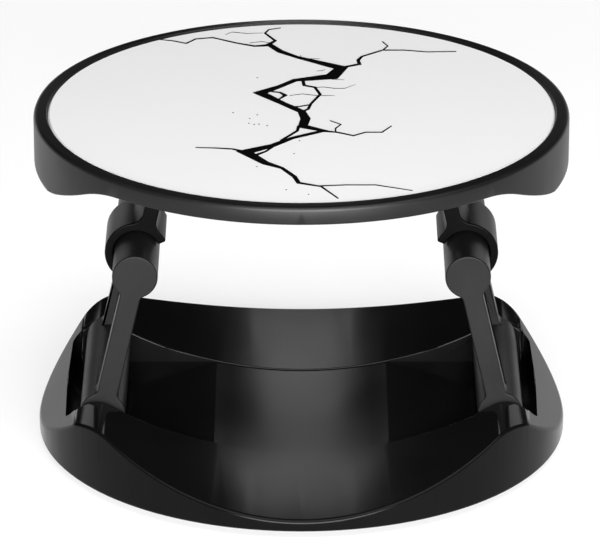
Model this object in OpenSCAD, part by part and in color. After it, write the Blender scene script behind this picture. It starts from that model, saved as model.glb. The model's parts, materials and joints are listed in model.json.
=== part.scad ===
// Folding phone grip: a round top disc on two knee-jointed legs over a saddle-shaped base.
// Millimetres. Z is up and the origin lies on the table under the middle of the adhesive pad.
// X runs from the left leg to the right leg. All hinge axes lie along Y.
// The grip is drawn open, with both legs straight.

/* [Base plate] */
// Diameter of the base plate
base_d = 40; // [39:0.5:42]
// Height of the plate in the middle of the finger saddle
saddle_t = 0.95; // [0.8:0.05:1.4]
// Height of the plate at its left and right ends
end_t = 1.1; // [0.8:0.05:1.6]
// Radius of the humps that carry the leg pins
hump_r = 2.3; // [2:0.1:2.6]
// How far the humps stand outboard of the leg pins
hump_offset = 0.45; // [0.2:0.05:0.7]
// Plastic from the leg pin axis to the top of the humps
hump_cover = 1.1; // [0.9:0.05:1.3]
// Height of the flat leg beds at both ends of the channel
floor_t = 1.6; // [1.3:0.05:1.8]
// Depth of the channel in the middle, below the finger saddle
channel_sink = 0.1; // [0.05:0.05:0.3]
// Radius of the corners at the channel ends
channel_corner_r = 0.8; // [0.4:0.1:1.2]
// Gap between the legs and the channel walls
channel_gap = 0.3; // [0.2:0.05:0.5]
// Gap between the leg barrels and the channel ends
channel_end_gap = 1.1; // [0.8:0.05:1.2]
// Diameter of the adhesive pad
pad_d = 37; // [30:0.5:38]
// Thickness of the adhesive pad
pad_t = 0.5; // [0.3:0.1:1]

/* [Legs] */
// Distance from the end of the base plate to the leg pin axis
pin_inset = 5.1; // [4.9:0.1:5.6]
// Height of the leg pin axis above the underside of the base plate
base_pin_h = 3.9; // [3.6:0.1:4.4]
// Distance from the leg pin to the knee
arm_len = 11.3; // [9.5:0.1:11.8]
// Lean of the straight legs towards the middle, in degrees
leg_lean = 13; // [10:0.5:16]
// Width of a lower arm along its pin
arm_w = 14.8; // [13:0.2:16]
// Radius of the barrels at both ends of a lower arm
barrel_r = 1.7; // [1.5:0.05:1.8]
// Width of a lower arm's rails, seen from the front
rail_w = 1.53; // [1.2:0.01:2]
// Thickness of the rails along the pin
rail_t = 1.7; // [1.2:0.1:2.2]
// Radius of the fillets where the rails meet the barrels
neck_r = 0.5; // [0.3:0.1:1]
// Width of an upper link along its pin
link_w = 5.2; // [4:0.1:6]
// Wall of the snap eye around the knee barrel
eye_wall = 0.65; // [0.5:0.05:0.7]
// How far the snap eye reaches round the barrel, in degrees
eye_wrap = 202; // [180:2:220]
// How far the snap eye reaches past the stem on its inner side, in degrees
eye_inner = 54; // [45:1:65]
// Thickness of the stem of an upper link
stem_t = 1.15; // [0.9:0.05:1.4]
// How far the stem is set towards the inner side
stem_offset = 0.35; // [0:0.05:0.4]
// Radius of the fillets where the stem meets the snap eye
stem_neck_r = 1; // [0.6:0.1:1.2]
// Radius of the head of an upper link
head_r = 1.5; // [1.4:0.05:1.7]

/* [Pins and fits] */
// Radius of the steel hinge pins
pin_r = 0.6; // [0.4:0.05:0.65]
// Radial clearance of the pins in the holes that hold them
pin_fit = 0.01; // [0.01:0.01:0.03]
// Radial clearance of the parts that turn on a pin or barrel
turn_fit = 0.05; // [0.03:0.01:0.08]
// Extra radial play of the right upper link on its disc pin
far_play = 0.3; // [0.28:0.01:0.34]
// Depth of the pin holes in the base plate beyond the channel wall
pin_hold = 1.6; // [1:0.1:2.2]
// Gap at the ends of the pins
pin_end_gap = 0.1; // [0.05:0.05:0.2]
// Gap on each side of a link between its lugs
lug_gap = 0.2; // [0.1:0.05:0.3]

/* [Disc] */
// Diameter of the top disc
disc_d = 40; // [39:0.5:42]
// Thickness of the disc at its rim
disc_t = 1.35; // [1.2:0.05:2]
// Width of the raised rim around the face plate
rim_w = 1.05; // [0.9:0.05:2]
// Bevel on the top edge of the rim
rim_bevel = 0.2; // [0.1:0.05:0.3]
// Thickness of the face plate
face_t = 0.4; // [0.3:0.05:0.5]
// How far the face plate lies below the rim
face_sink = 0.1; // [0.06:0.01:0.15]
// Gap around the face plate
face_gap = 0.03; // [0.01:0.01:0.08]
// Bevel on the top edge of the face plate
face_bevel = 0.12; // [0.05:0.01:0.2]
// Height of the disc's underside above its pins
lug_drop = 2.3; // [2.1:0.1:2.8]
// Thickness of the lugs under the disc
lug_t = 1.3; // [1:0.1:1.4]
// Radius of the lugs around the disc pins
lug_r = 1.4; // [1.2:0.05:1.6]
// How far the ears hang below the underside
ear_drop = 2.95; // [2.5:0.05:3.1]
// How far inboard of the humps the ears start
ear_lead = 2.05; // [1.9:0.05:2.6]
// Radius of the curve from the underside into the ears
ear_curve_r = 4.5; // [4:0.1:5]
// Slope of the ears' undersides, in degrees
ear_slope = 33; // [30:0.5:34]
// Radius of the ears' lower outer edges
ear_edge_r = 0.7; // [0.3:0.1:1]

/* [Print] */
// Thickness of the printed ink
ink_t = 0.04; // [0.03:0.01:0.05]
// Size of the crack pattern, where 1 reaches from edge to edge
print_size = 1; // [0.8:0.05:1]

/* [Hidden] */
$fn = 96;

LEFT = -1;
RIGHT = 1;
// Overshoot of cutters past the faces they open
over = 1;
// Overlap that lets two blended arcs cross instead of only touching
blend = 0.02;
// How far an added boss reaches into the wall that carries it
root = 0.3;

base_r = base_d / 2;
disc_r = disc_d / 2;
face_r = disc_r - rim_w - face_gap;

// The upper link's length lets both leg parts fold flat at the same height
link_len = arm_len * (1 - sin(leg_lean)) / (1 + sin(leg_lean));
leg_len = arm_len + link_len;
base_pin_x = base_r - pin_inset;
base_pin_z = pad_t + base_pin_h;
knee_x = base_pin_x - arm_len * sin(leg_lean);
knee_z = base_pin_z + arm_len * cos(leg_lean);
disc_pin_x = base_pin_x - leg_len * sin(leg_lean);
disc_pin_z = base_pin_z + leg_len * cos(leg_lean);

under_z = disc_pin_z + lug_drop;
disc_top_z = under_z + disc_t;
ear_z = under_z - ear_drop;
face_z = disc_top_z - face_sink - face_t;

channel_w = arm_w + 2 * channel_gap;
channel_end = base_pin_x + barrel_r + channel_end_gap;

// Hump centre, and the saddle arc that meets both humps
hump_x = base_pin_x + hump_offset;
hump_h = base_pin_h + hump_cover;
hump_c = hump_h - hump_r;
meet_r = hump_r - blend;
saddle_rise = saddle_t - hump_c;
saddle_r = (hump_x ^ 2 + saddle_rise ^ 2 - meet_r ^ 2) / (2 * (meet_r - saddle_rise));
saddle_c = saddle_t + saddle_r;

// Where the outer slope leaves the hump, and where the saddle meets it
slope_run = base_r - hump_x;
slope_fall = end_t - hump_c;
slope_turn = atan2(slope_fall, slope_run) + acos(hump_r / norm([slope_run, slope_fall]));
slope_top = [hump_x + hump_r * cos(slope_turn), hump_c + hump_r * sin(slope_turn)];
meet_turn = atan2(saddle_c - hump_c, -hump_x);
saddle_top = [hump_x + hump_r * cos(meet_turn), hump_c + hump_r * sin(meet_turn)];

eye_bore_r = barrel_r + turn_fit;
eye_r = eye_bore_r + eye_wall;
lug_y = link_w / 2 + lug_gap;
disc_pin_half = lug_y + lug_t - pin_end_gap;
base_pin_half = channel_w / 2 + pin_hold - pin_end_gap;

ear_start = hump_x - ear_lead;

// Steps around the open side of the snap eye, and the limit on a crack line's mitres
opening_steps = 4;
mitre_limit = 0.7;

// Crack lines as [x, y, width], for a face plate of 37.5 mm across
print_ref_r = 18.75;
crack_main = [
    [-2.5, 14.1, 0.5], [-1.6, 12.5, 0.55], [-0.4, 11.3, 0.4], [3, 8.9, 0.9],
    [2.3, 7, 1.1], [-0.5, 6.2, 0.5], [-1.6, 4.9, 0.5], [-3.1, 3.5, 0.8],
    [-1.4, 1.3, 0.55], [0, -0.4, 0.6], [0.3, -1.9, 0.75], [0.1, -3.5, 0.7],
    [1.6, -4.4, 0.5], [-0.7, -5.9, 0.4], [-2.1, -7.4, 0.55], [-4.1, -8.7, 0.9],
    [-2.6, -10.9, 0.6], [-1.4, -11.9, 0.3], [-0.5, -13.6, 0.35], [-0.2, -14.8, 0.3],
    [1.4, -15.5, 0.16], [2.6, -17.8, 0.1]
];
crack_top = [
    [-2.6, 13.9, 0.4], [-2, 14.9, 0.22], [-2.8, 16.6, 0.16], [-2.5, 17.4, 0.12], [-1.6, 17.8, 0.08]
];
crack_upper_left = [
    [-2.4, 13.9, 0.4], [-3.6, 13.7, 0.22], [-5, 14.4, 0.18], [-6.8, 15.6, 0.16],
    [-8.1, 15.3, 0.14], [-8.8, 14.3, 0.14], [-9.9, 14.9, 0.12], [-11, 15.2, 0.08]
];
crack_upper_right = [
    [2.9, 8.9, 0.3], [4.4, 9.7, 0.28], [4.3, 10.6, 0.26], [4.6, 11.4, 0.2],
    [6.2, 12.8, 0.16], [7.8, 12.8, 0.14], [9.6, 12.4, 0.12], [11.8, 12.5, 0.08]
];
crack_upper_spur = [[6.2, 12.8, 0.12], [6.6, 13.7, 0.1], [6.2, 14.7, 0.08]];
crack_loop = [
    [0.1, 6.4, 0.25], [0.2, 5.1, 0.25], [1, 4.7, 0.22], [1.4, 3.2, 0.22],
    [0.7, 1.2, 0.2], [0.5, 0.1, 0.22], [-0.1, -0.7, 0.2]
];
crack_loop_foot = [[-1, 0.6, 0.2], [-0.2, 0.6, 0.14], [0.6, 1, 0.12]];
crack_barb = [[-2.6, 3.9, 0.16], [-1.6, 3.6, 0.2], [-1.2, 3, 0.3], [-1.7, 2.1, 0.1]];
crack_bridge = [[-0.2, -3.4, 0.25], [-0.3, -4.4, 0.22], [-1.5, -6.4, 0.2]];
crack_middle_right = [
    [1.3, -4.4, 0.3], [2.6, -4.7, 0.2], [3.8, -5.4, 0.16], [4.7, -4.7, 0.14],
    [5.9, -4.7, 0.12], [6.6, -3.4, 0.08]
];
crack_middle_spur = [[2.5, -4.7, 0.12], [2.5, -3.9, 0.1], [2.9, -3.1, 0.09], [2.1, -2.3, 0.08]];
crack_lower_barb = [[-1.9, -7.3, 0.2], [-2.6, -8.6, 0.18], [-3.3, -9.3, 0.3], [-4, -9.4, 0.12]];
crack_lower_left = [[-3.9, -8.8, 0.4], [-5, -8.1, 0.18], [-6.3, -7.9, 0.14], [-7.7, -7.8, 0.08]];
crack_lower_right = [
    [1.2, -15.4, 0.14], [3.2, -15.2, 0.12], [5.3, -15.2, 0.11], [7.9, -16.3, 0.08]
];
crack_lines = [
    crack_main, crack_top, crack_upper_left, crack_upper_right, crack_upper_spur,
    crack_loop, crack_loop_foot, crack_barb, crack_bridge, crack_middle_right,
    crack_middle_spur, crack_lower_barb, crack_lower_left, crack_lower_right
];

// Unit direction between two points, and the sideways step that keeps a line's width at a bend
function heading(a, b) = [b[0] - a[0], b[1] - a[1]] / norm([b[0] - a[0], b[1] - a[1]]);
function sideways(u, v) =
    let (m = [-(u[1] + v[1]), u[0] + v[0]])
    m / max(norm(m) * norm(m) / 2, mitre_limit);
function edge_point(line, i, side) =
    let (
        last = len(line) - 1,
        into = heading(line[max(i - 1, 0)], line[max(i, 1)]),
        away = heading(line[min(i, last - 1)], line[min(i + 1, last)])
    )
    [line[i][0], line[i][1]] + sideways(into, away) * side * line[i][2] / 2;

// Extrudes a front-view outline evenly to both sides of y = 0
module across(width) {
    rotate([90, 0, 0])
        linear_extrude(width, center = true)
            children();
}

// A round bar along Y, centred on y = 0
module cross_bar(radius, length) {
    rotate([90, 0, 0])
        cylinder(r = radius, h = length, center = true);
}

// Puts a part that stands on the origin on one leg's pin, knee or disc pin, leaning as the leg does
module on_leg(side, x, z) {
    translate([side * x, 0, z])
        rotate([0, -side * leg_lean, 0])
            children();
}

// Fills the corner between a round end and the face of the bar that leaves it along +Y
module neck(side, round_r, face_x, fillet_r) {
    centre_x = face_x + fillet_r;
    centre_y = sqrt((round_r + fillet_r) ^ 2 - centre_x ^ 2);
    touch = [centre_x, centre_y] * (round_r - blend) / (round_r + fillet_r);
    mirror([side == LEFT ? 1 : 0, 0])
        difference() {
            polygon([[-blend, touch[1]], touch, [centre_x, centre_y], [-blend, centre_y]]);
            translate([centre_x, centre_y])
                circle(fillet_r);
        }
}

// Front view of the base plate
module base_section() {
    difference() {
        union() {
            polygon([
                [-base_r, 0], [base_r, 0], [base_r, end_t], slope_top, saddle_top,
                [-saddle_top[0], saddle_top[1]], [-slope_top[0], slope_top[1]], [-base_r, end_t]
            ]);
            for (side = [LEFT, RIGHT])
                translate([side * hump_x, hump_c])
                    circle(hump_r);
        }
        translate([0, saddle_c])
            circle(saddle_r);
    }
}

module base_plate() {
    color("#1b1b1c")
        difference() {
            translate([0, 0, pad_t])
                intersection() {
                    cylinder(r = base_r, h = hump_h + over);
                    across(base_d + over)
                        base_section();
                }
            leg_channel();
            for (side = [LEFT, RIGHT])
                base_pin_hole(side);
        }
}

// The folded legs lie on two flat beds inside the humps, joined by a shallow strip of the saddle
module leg_channel() {
    corner_x = channel_end - channel_corner_r;
    corner_y = channel_w / 2 - channel_corner_r;
    translate([0, 0, pad_t + floor_t])
        linear_extrude(hump_h + over)
            union() {
                square([2 * channel_end, 2 * corner_y], center = true);
                square([2 * corner_x, channel_w], center = true);
                for (side = [LEFT, RIGHT], face = [-1, 1])
                    translate([side * corner_x, face * corner_y])
                        circle(channel_corner_r);
            }
    across(channel_w)
        translate([0, pad_t + saddle_c])
            circle(saddle_r + channel_sink);
}

// Blind at the front and open at the back, where the pin goes in
module base_pin_hole(side) {
    front_y = channel_w / 2 + pin_hold;
    translate([side * base_pin_x, base_r + over, base_pin_z])
        rotate([90, 0, 0])
            cylinder(r = pin_r + pin_fit, h = base_r + over + front_y);
}

module adhesive_pad() {
    color("#3a3a3c")
        cylinder(d = pad_d, h = pad_t);
}

module base_pin(side) {
    color("silver")
        translate([side * base_pin_x, 0, base_pin_z])
            cross_bar(pin_r, 2 * base_pin_half);
}

// Front view of a rail between its barrels, with the leg pin at the origin and the knee above
module rail_section() {
    translate([-rail_w / 2, 0])
        square([rail_w, arm_len]);
    for (side = [LEFT, RIGHT]) {
        neck(side, barrel_r, rail_w / 2, neck_r);
        translate([0, arm_len])
            mirror([0, 1])
                neck(side, barrel_r, rail_w / 2, neck_r);
    }
}

// Two rails joined by a barrel at the pin and a barrel at the knee
module lower_arm(side) {
    color("#232324")
        on_leg(side, base_pin_x, base_pin_z)
            difference() {
                union() {
                    for (face = [-1, 1])
                        translate([0, face * (arm_w - rail_t) / 2, 0])
                            across(rail_t)
                                rail_section();
                    for (end_z = [0, arm_len])
                        translate([0, 0, end_z])
                            cross_bar(barrel_r, arm_w);
                }
                cross_bar(pin_r + turn_fit, arm_w + over);
            }
}

// The open side of the snap eye, as a wedge between two directions from the knee
module eye_opening() {
    first = 90 - eye_inner + eye_wrap;
    last = 360 + 90 - eye_inner;
    turn = (last - first) / opening_steps;
    reach = 2 * eye_r;
    polygon(concat(
        [[0, 0]],
        [for (i = [0:opening_steps]) reach * [cos(first + turn * i), sin(first + turn * i)]]
    ));
}

// Front view of a left upper link, with the knee at the origin and the disc pin above
module link_section(play) {
    difference() {
        union() {
            circle(eye_r);
            translate([0, link_len])
                circle(head_r);
            translate([stem_offset - stem_t / 2, 0])
                square([stem_t, link_len]);
            for (side = [LEFT, RIGHT])
                neck(side, eye_r, stem_t / 2 + side * stem_offset, stem_neck_r);
        }
        circle(eye_bore_r);
        eye_opening();
        translate([0, link_len])
            circle(pin_r + turn_fit + play);
    }
}

// A snap eye on the knee barrel, a stem and a head on the disc pin
module upper_link(side, play) {
    color("#1e1e1f")
        on_leg(side, knee_x, knee_z)
            across(link_w)
                mirror([side == RIGHT ? 1 : 0, 0])
                    link_section(play);
}

module disc_pin(side) {
    color("silver")
        translate([side * disc_pin_x, 0, disc_pin_z])
            cross_bar(pin_r, 2 * disc_pin_half);
}

// Outline of the disc with its ears all the way round, for a revolve
module disc_round() {
    rotate_extrude()
        union() {
            polygon([
                [0, ear_z], [disc_r - ear_edge_r, ear_z], [disc_r, ear_z + ear_edge_r],
                [disc_r, disc_top_z - rim_bevel], [disc_r - rim_bevel, disc_top_z], [0, disc_top_z]
            ]);
            translate([disc_r - ear_edge_r, ear_z + ear_edge_r])
                circle(ear_edge_r);
        }
}

// Front view of the open space under the disc and between its ears
module underside_section() {
    curve_end = [ear_start + ear_curve_r * sin(ear_slope), under_z - ear_curve_r * (1 - cos(ear_slope))];
    foot_z = ear_z - over;
    foot_x = curve_end[0] + (curve_end[1] - foot_z) / tan(ear_slope);
    polygon([
        [ear_start, under_z], curve_end, [foot_x, foot_z],
        [-foot_x, foot_z], [-curve_end[0], curve_end[1]], [-ear_start, under_z]
    ]);
    intersection() {
        for (side = [LEFT, RIGHT])
            translate([side * ear_start, under_z - ear_curve_r])
                circle(ear_curve_r);
        translate([-disc_r, foot_z])
            square([disc_d, under_z - foot_z]);
    }
}

// Two lugs for one disc pin, with the link's head between them
module disc_lugs(side) {
    for (face = [-1, 1])
        translate([side * disc_pin_x, face * (lug_y + lug_t / 2), disc_pin_z])
            across(lug_t)
                union() {
                    circle(lug_r);
                    translate([-lug_r, 0])
                        square([2 * lug_r, lug_drop + root]);
                }
}

module disc_shell() {
    color("#242425")
        difference() {
            union() {
                difference() {
                    disc_round();
                    across(disc_d + over)
                        underside_section();
                }
                for (side = [LEFT, RIGHT])
                    disc_lugs(side);
            }
            translate([0, 0, face_z])
                cylinder(r = face_r + face_gap, h = face_t + face_sink + over);
            for (side = [LEFT, RIGHT])
                translate([side * disc_pin_x, 0, disc_pin_z])
                    cross_bar(pin_r + pin_fit, 2 * (lug_y + lug_t) + over);
        }
}

module face_plate() {
    color("#efefef")
        translate([0, 0, face_z])
            rotate_extrude()
                polygon([
                    [0, 0], [face_r, 0], [face_r, face_t - face_bevel],
                    [face_r - face_bevel, face_t], [0, face_t]
                ]);
}

// One crack line as a closed outline
module crack_line(line) {
    last = len(line) - 1;
    polygon(concat(
        [for (i = [0:last]) edge_point(line, i, 1)],
        [for (i = [last:-1:0]) edge_point(line, i, -1)]
    ));
}

module crack_print() {
    color("#0c0c0c")
        translate([0, 0, face_z + face_t])
            linear_extrude(ink_t)
                scale(print_size * face_r / print_ref_r)
                    for (line = crack_lines)
                        crack_line(line);
}

base_plate();
adhesive_pad();
base_pin(LEFT);  // left_base_pin
base_pin(RIGHT);  // right_base_pin
lower_arm(LEFT);  // left_lower_arm
lower_arm(RIGHT);  // right_lower_arm
upper_link(LEFT, 0);  // left_upper_link
upper_link(RIGHT, far_play);  // right_upper_link
disc_pin(LEFT);  // left_disc_pin
disc_pin(RIGHT);  // right_disc_pin
disc_shell();
face_plate();
crack_print();
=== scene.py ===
import json
import math

import bmesh
import bpy
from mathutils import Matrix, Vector

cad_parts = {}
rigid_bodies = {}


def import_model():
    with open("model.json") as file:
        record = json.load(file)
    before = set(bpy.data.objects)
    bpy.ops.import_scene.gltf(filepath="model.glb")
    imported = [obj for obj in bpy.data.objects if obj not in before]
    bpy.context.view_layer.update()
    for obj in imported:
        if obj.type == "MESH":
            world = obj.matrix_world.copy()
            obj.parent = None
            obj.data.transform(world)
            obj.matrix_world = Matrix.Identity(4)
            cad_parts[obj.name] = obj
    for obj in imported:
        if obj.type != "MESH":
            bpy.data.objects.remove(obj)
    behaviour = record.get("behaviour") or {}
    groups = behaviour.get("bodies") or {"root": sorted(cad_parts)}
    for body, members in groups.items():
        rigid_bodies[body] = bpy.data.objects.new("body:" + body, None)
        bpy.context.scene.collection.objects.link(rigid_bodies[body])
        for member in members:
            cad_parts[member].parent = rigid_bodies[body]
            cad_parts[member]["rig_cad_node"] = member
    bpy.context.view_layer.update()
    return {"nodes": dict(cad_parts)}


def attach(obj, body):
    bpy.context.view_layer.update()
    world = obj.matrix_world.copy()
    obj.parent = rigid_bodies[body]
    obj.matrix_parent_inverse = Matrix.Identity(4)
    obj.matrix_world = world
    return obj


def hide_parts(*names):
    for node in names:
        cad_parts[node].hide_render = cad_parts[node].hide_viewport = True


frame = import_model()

nodes = frame["nodes"]
MM = 0.001

# Camera: a long lens, 22.5 degrees above the table and square on to the front of the grip,
# with the whole grip filling the frame.
CAMERA_AT = (-0.11 * MM, -367.1 * MM, 164.7 * MM)
CAMERA_DOWN = 22.531
LENS = 315.24
SENSOR_WIDTH = 36
CLIP_NEAR = 0.01
CLIP_FAR = 20

bpy.ops.object.camera_add(
    location=CAMERA_AT, rotation=(math.radians(90 - CAMERA_DOWN), 0, 0),
)
camera = bpy.context.object
camera.data.lens = LENS
camera.data.sensor_width = SENSOR_WIDTH
camera.data.clip_start = CLIP_NEAR
camera.data.clip_end = CLIP_FAR
bpy.context.scene.camera = camera
bpy.context.scene.view_settings.view_transform = "Standard"

# Table: a sheet of matt white board, a hair below the pad so that their faces don't share a
# plane. The light leaves it grey, and the rest of its white is added only where it is seen, so
# the grip's soft shadow stays.
BOARD_SIZE = 6
BOARD_WHITE = 0.3
BOARD_LIFT = 0.72
BOARD_TOP = -0.02 * MM


def new_material(name):
    material = bpy.data.materials.new(name)
    material.use_nodes = True
    return material, material.node_tree, material.node_tree.nodes["Principled BSDF"]


def math_node(tree, operation, first, second):
    node = tree.nodes.new("ShaderNodeMath")
    node.operation = operation
    tree.links.new(first, node.inputs[0])
    if isinstance(second, (int, float)):
        node.inputs[1].default_value = second
    else:
        tree.links.new(second, node.inputs[1])
    return node.outputs[0]


bpy.ops.object.select_all(action="DESELECT")
bpy.ops.mesh.primitive_plane_add(size=BOARD_SIZE, location=(0, 0, BOARD_TOP))
table = bpy.context.object
table.name = "table"
board, tree, shader = new_material("white_board")
shader.inputs["Base Color"].default_value = (BOARD_WHITE, BOARD_WHITE, BOARD_WHITE, 1)
shader.inputs["Roughness"].default_value = 0.9
shader.inputs["Specular IOR Level"].default_value = 0.1
shader.inputs["Emission Color"].default_value = (1, 1, 1, 1)
rays = tree.nodes.new("ShaderNodeLightPath")
seen = math_node(tree, "ADD", rays.outputs["Is Camera Ray"], rays.outputs["Is Glossy Ray"])
seen = math_node(tree, "ADD", seen, rays.outputs["Is Transmission Ray"])
lift = math_node(tree, "MULTIPLY", seen, BOARD_LIFT)
tree.links.new(lift, shader.inputs["Emission Strength"])
table.data.materials.append(board)

# Studio: a dim grey room, a large soft box overhead, a wide low one in front that lights the
# upright faces, and small panels low behind the grip: one at each side for the humps, and three
# in the middle, which the back, the channel and the front of the saddle mirror.
ROOM_GREY = 0.025

world = bpy.data.worlds.new("studio")
bpy.context.scene.world = world
world.use_nodes = True
world.node_tree.nodes["Background"].inputs["Color"].default_value = (1, 1, 1, 1)
world.node_tree.nodes["Background"].inputs["Strength"].default_value = ROOM_GREY


def soft_box(name, at, size, power, look_at):
    """A rectangular lamp that the camera doesn't see. Its places and sizes are in millimetres."""
    bpy.ops.object.light_add(type="AREA", location=Vector(at) * MM)
    light = bpy.context.object
    light.name = name
    light.data.shape = "RECTANGLE"
    light.data.size = size[0] * MM
    light.data.size_y = size[1] * MM
    light.data.energy = power
    light.visible_camera = False
    aim = Vector(look_at) * MM - light.location
    light.rotation_euler = aim.to_track_quat("-Z", "Y").to_euler()


soft_box("top_box", (60, -125, 335), (400, 250), 1.27, (0, 0, 12))
soft_box("front_box", (20, -360, 82), (300, 160), 3.8, (0, 0, 16))
for away, height, size, power in (
    (100, 37, (10, 9), 0.00047),
    (70, 31, (5.4, 7.5), 0.0002),
    (50, 30.5, (8, 5.5), 0.00031),
):
    soft_box("saddle_panel", (0, away, height), size, power, (0, 0, 3))
for side in (-1, 1):
    soft_box("hump_panel", (30 * side, 40, 25), (20, 14), 0.0011, (16 * side, -14, 6))

# Base plate: one moulding of gloss black ABS, saddle-shaped for the finger, with a hump at each
# end for the leg pins and a channel between them. Its edges leave the mould slightly rounded.
BASE_RIM = 0.3 * MM
INNER_EDGE = 0.8
STRIP_EDGE = 0.2
STRIP_HALF = 6.56 * MM
FOOT_TOP = 1 * MM
CREASE_NEAR = 0.01 * MM
BED_HALF = 10.5 * MM
CHANNEL_HALF = 7.8 * MM
RIM_FROM = 19 * MM
HUMP_FROM = 15 * MM
HUMP_RUN = 3 * MM
ROOM_SHARE = 0.45
WELD_WITHIN = 0.002 * MM
FLAT_WITHIN = math.radians(0.1)
OUTER_OVER = math.radians(28)
SMOOTH_WITHIN = math.radians(35)
EVEN_WEIGHT = 100
CLOUD_SCALE = 140
WAVE_SCALE = 700
FLECK_SCALE = 2600
GRAIN_SCALE = 9000
CLOUD_SHARE = 0.7
FLECK_SHARE = 0.3
NOISE_LOW = 0.3
NOISE_HIGH = 0.7
WAVE_STRENGTH = 0.1
WAVE_DEPTH = 0.004 * MM
GRAIN_DEPTH = 0.003 * MM
PIN_X = 14.9 * MM
PIN_Z = 4.4 * MM
PIN_HOLE = 0.7 * MM
MIDDLE_NEAR = 0.7 * MM
CORNER_X = 16.8 * MM
CORNER_Y = 6.8 * MM
CORNER_R = 19.4 * MM


def black_plastic(name, colour, roughness, specular, grain):
    """Moulded black plastic: faint clouding in colour and polish, a fine grain and slow waves."""
    material, tree, shader = new_material(name)
    shader.inputs["Specular IOR Level"].default_value = specular
    place = tree.nodes.new("ShaderNodeTexCoord").outputs["Object"]

    def noise(scale, detail):
        node = tree.nodes.new("ShaderNodeTexNoise")
        node.inputs["Scale"].default_value = scale
        node.inputs["Detail"].default_value = detail
        tree.links.new(place, node.inputs["Vector"])
        return node.outputs["Fac"]

    def spread(source, low, high, target):
        node = tree.nodes.new("ShaderNodeMapRange")
        node.inputs["From Min"].default_value = NOISE_LOW
        node.inputs["From Max"].default_value = NOISE_HIGH
        node.inputs["To Min"].default_value = low
        node.inputs["To Max"].default_value = high
        tree.links.new(source, node.inputs["Value"])
        tree.links.new(node.outputs["Result"], target)

    clouds = noise(CLOUD_SCALE, 4)
    flecks = noise(FLECK_SCALE, 2)
    shade = tree.nodes.new("ShaderNodeMix")
    shade.data_type = "RGBA"
    shade.inputs["A"].default_value = (*[c * 0.8 for c in colour], 1)
    shade.inputs["B"].default_value = (*[c * 1.2 for c in colour], 1)
    mottle = math_node(tree, "ADD", math_node(tree, "MULTIPLY", clouds, CLOUD_SHARE),
                       math_node(tree, "MULTIPLY", flecks, FLECK_SHARE))
    spread(mottle, 0, 1, shade.inputs["Factor"])
    tree.links.new(shade.outputs["Result"], shader.inputs["Base Color"])
    spread(clouds, roughness * 0.88, roughness * 1.12, shader.inputs["Roughness"])
    slow = tree.nodes.new("ShaderNodeBump")
    slow.inputs["Strength"].default_value = WAVE_STRENGTH
    slow.inputs["Distance"].default_value = WAVE_DEPTH
    tree.links.new(noise(WAVE_SCALE, 1), slow.inputs["Height"])
    fine = tree.nodes.new("ShaderNodeBump")
    fine.inputs["Strength"].default_value = grain
    fine.inputs["Distance"].default_value = GRAIN_DEPTH
    tree.links.new(noise(GRAIN_SCALE, 2), fine.inputs["Height"])
    tree.links.new(slow.outputs["Normal"], fine.inputs["Normal"])
    tree.links.new(fine.outputs["Normal"], shader.inputs["Normal"])
    return material


def room_beside(edge):
    """How wide a rounding the two faces at an edge have room for."""
    start, end = (vert.co for vert in edge.verts)
    along = (end - start).normalized()
    return min(
        ROOM_SHARE * max((vert.co - start).cross(along).length for vert in face.verts)
        for face in edge.link_faces
    )


def on_crease(point):
    """Whether a point is on the crease between a leg bed and the strip in the saddle's middle."""
    beside = abs(abs(point.x) - STRIP_HALF) < CREASE_NEAR
    return beside and abs(point.y) < CHANNEL_HALF and point.z > FOOT_TOP


def eased_copy(node, width, body, material, cuts=(0,), weigh=None, segments=3):
    """A merged copy of a CAD node with its outer edges rounded, put in the node's place.

    The cuts across X, and one through its middle, part its large faces, which keeps their shape.
    """
    bpy.ops.object.select_all(action="DESELECT")
    nodes[node].select_set(True)
    bpy.context.view_layer.objects.active = nodes[node]
    bpy.ops.object.duplicate()
    piece = bpy.context.object
    piece.name = node + "_moulded"
    piece.parent = None
    del piece["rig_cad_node"]
    bpy.ops.object.mode_set(mode="EDIT")
    bpy.ops.mesh.select_all(action="SELECT")
    bpy.ops.mesh.remove_doubles(threshold=WELD_WITHIN)
    bpy.ops.mesh.dissolve_limited(angle_limit=FLAT_WITHIN)
    for at, facing in [((cut, 0, 0), (1, 0, 0)) for cut in cuts] + [((0, 0, 0), (0, 1, 0))]:
        bpy.ops.mesh.select_all(action="SELECT")
        bpy.ops.mesh.bisect(plane_co=at, plane_no=facing)
    bpy.ops.object.mode_set(mode="OBJECT")
    mesh = bmesh.new()
    mesh.from_mesh(piece.data)
    weight = mesh.edges.layers.float.new("bevel_weight_edge")
    for edge in mesh.edges:
        if edge.is_manifold and edge.calc_face_angle_signed() > OUTER_OVER:
            edge[weight] = min(weigh(edge) if weigh else 1, room_beside(edge) / width)
    mesh.to_mesh(piece.data)
    mesh.free()
    rounding = piece.modifiers.new("rounding", "BEVEL")
    rounding.width = width
    rounding.segments = segments
    rounding.limit_method = "WEIGHT"
    rounding.use_clamp_overlap = False
    bpy.ops.object.modifier_apply(modifier="rounding")
    bpy.ops.object.shade_smooth_by_angle(angle=SMOOTH_WITHIN)
    for edge in piece.data.edges:
        if all(on_crease(piece.data.vertices[index].co) for index in edge.vertices):
            edge.use_edge_sharp = True
    even = piece.modifiers.new("even", "WEIGHTED_NORMAL")
    even.weight = EVEN_WEIGHT
    even.keep_sharp = True
    bpy.ops.object.modifier_apply(modifier="even")
    piece.data.materials.clear()
    piece.data.materials.append(material)
    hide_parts(node)
    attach(piece, body)


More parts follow.
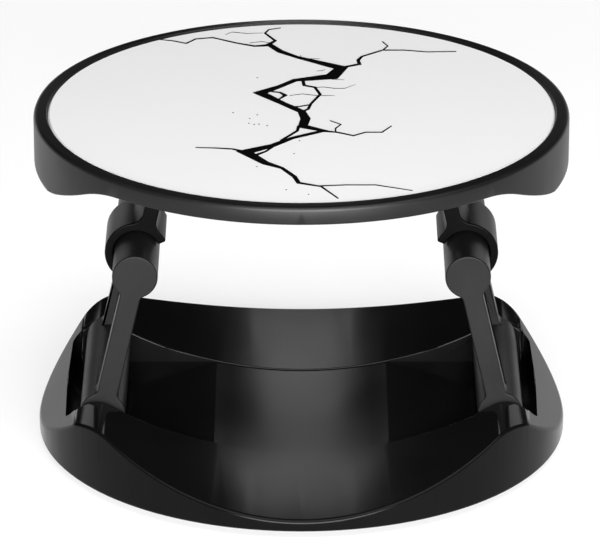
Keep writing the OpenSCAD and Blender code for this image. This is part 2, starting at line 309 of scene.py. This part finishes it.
def base_edge(edge):
    """Full rounding on the saddle's outer rim, less on the humps and inner edges, and least on the
    shallow step between the saddle and the strip in its middle. The mouths of the pin holes and
    the corners at the channel's ends stay sharp, as a rounding has no room there."""
    middle = (edge.verts[0].co + edge.verts[1].co) / 2
    from_pin = math.hypot(abs(middle.x) - PIN_X, middle.z - PIN_Z)
    from_centre = math.hypot(middle.x, middle.y)
    if from_pin < PIN_HOLE and abs(middle.y) > MIDDLE_NEAR:
        return 0
    at_end = from_centre < CORNER_R and abs(middle.x) > CORNER_X
    if at_end and CORNER_Y < abs(middle.y) < CHANNEL_HALF:
        return 0
    if from_centre > RIM_FROM and middle.z > FOOT_TOP:
        along = min(max((HUMP_FROM - abs(middle.x)) / HUMP_RUN, 0), 1)
        return INNER_EDGE + (1 - INNER_EDGE) * along
    if abs(middle.y) > CHANNEL_HALF or abs(middle.x) > BED_HALF:
        return INNER_EDGE
    run = (abs(middle.x) - STRIP_HALF) / (BED_HALF - STRIP_HALF)
    return STRIP_EDGE + (INNER_EDGE - STRIP_EDGE) * max(run, 0)


base_gloss = black_plastic(
    "base_black", (0.003, 0.003, 0.0032), roughness=0.15, specular=0.07, grain=0.05,
)
BASE_CUTS = (-PIN_X, -BED_HALF, -STRIP_HALF, 0, STRIP_HALF, BED_HALF, PIN_X)
eased_copy("base_plate", BASE_RIM, "base", base_gloss, BASE_CUTS, base_edge)

# Adhesive pad: a round of soft dark gel foam, die-cut and stuck under the base plate. It is set
# in from the plate's edge.
pad_gel = black_plastic(
    "pad_gel", (0.03, 0.03, 0.031), roughness=0.7, specular=0.3, grain=0.6,
)


def dress(node, material):
    nodes[node].data.materials.clear()
    nodes[node].data.materials.append(material)


dress("adhesive_pad", pad_gel)

# Hinge pins: ground steel rods, pushed in from the back of the base plate and through the
# lugs under the disc. Only their ends can be seen.
pin_steel, tree, shader = new_material("pin_steel")
shader.inputs["Base Color"].default_value = (0.55, 0.55, 0.56, 1)
shader.inputs["Metallic"].default_value = 1
place = tree.nodes.new("ShaderNodeTexCoord")
grind = tree.nodes.new("ShaderNodeTexWave")
grind.bands_direction = "Y"
grind.inputs["Scale"].default_value = 2200
grind.inputs["Distortion"].default_value = 3
tree.links.new(place.outputs["Object"], grind.inputs["Vector"])
polish = tree.nodes.new("ShaderNodeMapRange")
polish.inputs["To Min"].default_value = 0.22
polish.inputs["To Max"].default_value = 0.38
tree.links.new(grind.outputs["Fac"], polish.inputs["Value"])
tree.links.new(polish.outputs["Result"], shader.inputs["Roughness"])
scratch = tree.nodes.new("ShaderNodeBump")
scratch.inputs["Strength"].default_value = 0.2
scratch.inputs["Distance"].default_value = 0.002 * MM
tree.links.new(grind.outputs["Fac"], scratch.inputs["Height"])
tree.links.new(scratch.outputs["Normal"], shader.inputs["Normal"])
for node in ("left_base_pin", "right_base_pin", "left_disc_pin", "right_disc_pin"):
    dress(node, pin_steel)

# Lower arms: satin black nylon mouldings, each a frame of two rails between two barrels. The
# lower barrel turns on the base pin, and the upper one is the pin of the knee.
ARM_ROUND = 0.12 * MM

leg_satin = black_plastic(
    "leg_black", (0.008, 0.008, 0.0083), roughness=0.42, specular=0.15, grain=0.2,
)
for side in ("left", "right"):
    eased_copy(side + "_lower_arm", ARM_ROUND, side + "_arm", leg_satin)

# Upper links: the same nylon, each with a snap eye that is pressed onto the knee barrel, and a
# head that turns on the disc pin between two lugs. Their black is darker than the arms': painted
# shade, standing for the shadow that the disc casts on them.
KNEE_X = 12.358 * MM
KNEE_Z = 15.41 * MM
LIP_FROM = 2.2 * MM
LIP_TO = 2.45 * MM
ALONG_PIN = 0.9
LINK_ROUND = 0.3 * MM
LINK_EDGE = 0.4


def link_edge(edge):
    """The lips of the snap eye are rounded over, and every other edge is only eased."""
    start, end = (vert.co for vert in edge.verts)
    along_pin = abs(start.y - end.y) > ALONG_PIN * (start - end).length
    reach = math.hypot(abs(start.x) - KNEE_X, start.z - KNEE_Z)
    return 1 if along_pin and LIP_FROM < reach < LIP_TO else LINK_EDGE


# The links' colour is darker than the lower arms': painted shade for the shadow of the disc.
link_satin_painted_shade = black_plastic(
    "link_black_painted_shade", (0.0012, 0.0012, 0.0013), roughness=0.32, specular=0.05, grain=0.2,
)
for side in ("left", "right"):
    eased_copy(side + "_upper_link", LINK_ROUND, side + "_link", link_satin_painted_shade, weigh=link_edge)

# Disc: a black ABS moulding with a raised rim, two ears that drop over the humps when the grip
# is folded, and two pairs of lugs for the disc pins.
DISC_CHAMFER = 0.2 * MM
DISC_EDGE = 0.5
DISC_RIM_R = 19.5 * MM
DISC_RIM_Z = 25.5 * MM


def disc_edge(edge):
    """A full chamfer round the top of the rim, and half as much on every other edge."""
    middle = (edge.verts[0].co + edge.verts[1].co) / 2
    on_rim = math.hypot(middle.x, middle.y) > DISC_RIM_R and middle.z > DISC_RIM_Z
    return 1 if on_rim else DISC_EDGE


disc_satin = black_plastic(
    "disc_black", (0.004, 0.004, 0.0042), roughness=0.4, specular=0.27, grain=0.12,
)
eased_copy("disc_shell", DISC_CHAMFER, "disc", disc_satin, weigh=disc_edge, segments=1)

# Face plate: a thin glossy white acrylic disc, bevelled round its edge and bonded in the disc.
# Its white is a little uneven, and its gloss has a faint ripple.
face_white, tree, shader = new_material("face_white")
place = tree.nodes.new("ShaderNodeTexCoord")
tint = tree.nodes.new("ShaderNodeTexNoise")
tint.inputs["Scale"].default_value = 60
tint.inputs["Detail"].default_value = 3
tree.links.new(place.outputs["Object"], tint.inputs["Vector"])
milk = tree.nodes.new("ShaderNodeMix")
milk.data_type = "RGBA"
milk.inputs["A"].default_value = (0.81, 0.81, 0.812, 1)
milk.inputs["B"].default_value = (0.84, 0.84, 0.84, 1)
tree.links.new(tint.outputs["Fac"], milk.inputs["Factor"])
tree.links.new(milk.outputs["Result"], shader.inputs["Base Color"])
gloss = tree.nodes.new("ShaderNodeMapRange")
gloss.inputs["To Min"].default_value = 0.11
gloss.inputs["To Max"].default_value = 0.17
tree.links.new(tint.outputs["Fac"], gloss.inputs["Value"])
tree.links.new(gloss.outputs["Result"], shader.inputs["Roughness"])
peel = tree.nodes.new("ShaderNodeTexNoise")
peel.inputs["Scale"].default_value = 900
tree.links.new(place.outputs["Object"], peel.inputs["Vector"])
wave = tree.nodes.new("ShaderNodeBump")
wave.inputs["Strength"].default_value = 0.05
wave.inputs["Distance"].default_value = 0.003 * MM
tree.links.new(peel.outputs["Fac"], wave.inputs["Height"])
tree.links.new(wave.outputs["Normal"], shader.inputs["Normal"])
dress("face_plate", face_white)

# Crack print: matt black ink, screened onto the white plate as one jagged crack from back to
# front with finer branches.
ink_black = black_plastic(
    "ink_black", (0.003, 0.003, 0.003), roughness=0.6, specular=0.0, grain=0.3,
)
dress("crack_print", ink_black)

# Hair cracks: ink lines as thin as the screen can print, each one drawn with a broad nib that
# is held across the disc, and running out to a point.
NIB = (0.012 * MM, 0.075 * MM)
TIP_SHARE = 0.3
INK_THICK = 0.02 * MM
PLATE_TOP_CORNER = Vector(nodes["face_plate"].bound_box[1])
INK_LOW = (nodes["face_plate"].matrix_world @ PLATE_TOP_CORNER).z
HAIR_CRACKS = (
    ((-5.9, 16.4), (-5.4, 17.0), (-4.2, 16.65), (-3.0, 16.8)),
    ((-4.0, 14.5), (-3.05, 14.85), (-2.3, 14.5)),
    ((-0.1, 11.75), (0.1, 11.0), (1.4, 11.0)),
    ((1.8, 8.65), (1.6, 8.35), (1.15, 8.3)),
    ((2.3, 6.45), (3.25, 6.35)),
    ((0.95, 4.65), (1.65, 4.8), (2.5, 4.5), (3.25, 4.5), (4.1, 5.35)),
    ((-0.9, 2.95), (0.05, 3.3), (1.2, 2.95), (2.5, 2.95)),
)
bpy.ops.object.select_all(action="DESELECT")
bpy.ops.mesh.primitive_plane_add(size=MM, location=(0, 0, 0))
hairs = bpy.context.object
hairs.name = "hair_cracks"
bpy.ops.object.mode_set(mode="EDIT")
bpy.ops.mesh.delete(type="VERT")
for line in HAIR_CRACKS:
    bpy.ops.mesh.select_all(action="DESELECT")
    first = (line[0][0] * MM, line[0][1] * MM, INK_LOW)
    bpy.ops.mesh.primitive_plane_add(size=MM, location=first)
    bpy.ops.mesh.merge(type="CENTER")
    bpy.ops.mesh.extrude_vertices_move(TRANSFORM_OT_translate={"value": (*NIB, 0)})
    bpy.ops.mesh.select_linked()
    for start, end in zip(line, line[1:]):
        step = ((end[0] - start[0]) * MM, (end[1] - start[1]) * MM, 0)
        bpy.ops.mesh.extrude_region_move(TRANSFORM_OT_translate={"value": step})
    tip = (line[-1][0] * MM + NIB[0] / 2, line[-1][1] * MM + NIB[1] / 2, INK_LOW)
    bpy.ops.transform.resize(value=(TIP_SHARE, TIP_SHARE, 1), center_override=tip)
bpy.ops.mesh.select_all(action="SELECT")
bpy.ops.mesh.extrude_region_move(TRANSFORM_OT_translate={"value": (0, 0, INK_THICK)})
bpy.ops.mesh.select_all(action="SELECT")
bpy.ops.mesh.normals_make_consistent(inside=False)
bpy.ops.object.mode_set(mode="OBJECT")
hairs.data.materials.append(ink_black)
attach(hairs, "disc")

# Ink specks: tiny drops spattered beside the crack, in the same ink and no thicker than the
# hair cracks.
SPECK_R = 0.06 * MM
SPECK_SIDES = 10
SPECKS = (
    (-3.85, -1.85), (-2.55, -3.35), (-3.9, -2.85), (-3.5, -3.1), (-3.15, -3.05), (-3.3, -1.1),
    (-5.1, -0.65), (-0.15, -6.45), (-0.55, -9.1), (-3.25, -11.7), (-1.1, -16.25), (0.5, -17.15),
    (-3.35, 6.85),
)
bpy.ops.object.select_all(action="DESELECT")
bpy.ops.mesh.primitive_plane_add(size=MM, location=(0, 0, 0))
specks = bpy.context.object
specks.name = "ink_specks"
bpy.ops.object.mode_set(mode="EDIT")
bpy.ops.mesh.delete(type="VERT")
for x, y in SPECKS:
    bpy.ops.mesh.primitive_cylinder_add(
        vertices=SPECK_SIDES, radius=SPECK_R, depth=INK_THICK,
        location=(x * MM, y * MM, INK_LOW + INK_THICK / 2),
    )
bpy.ops.object.mode_set(mode="OBJECT")
specks.data.materials.append(ink_black)
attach(specks, "disc")
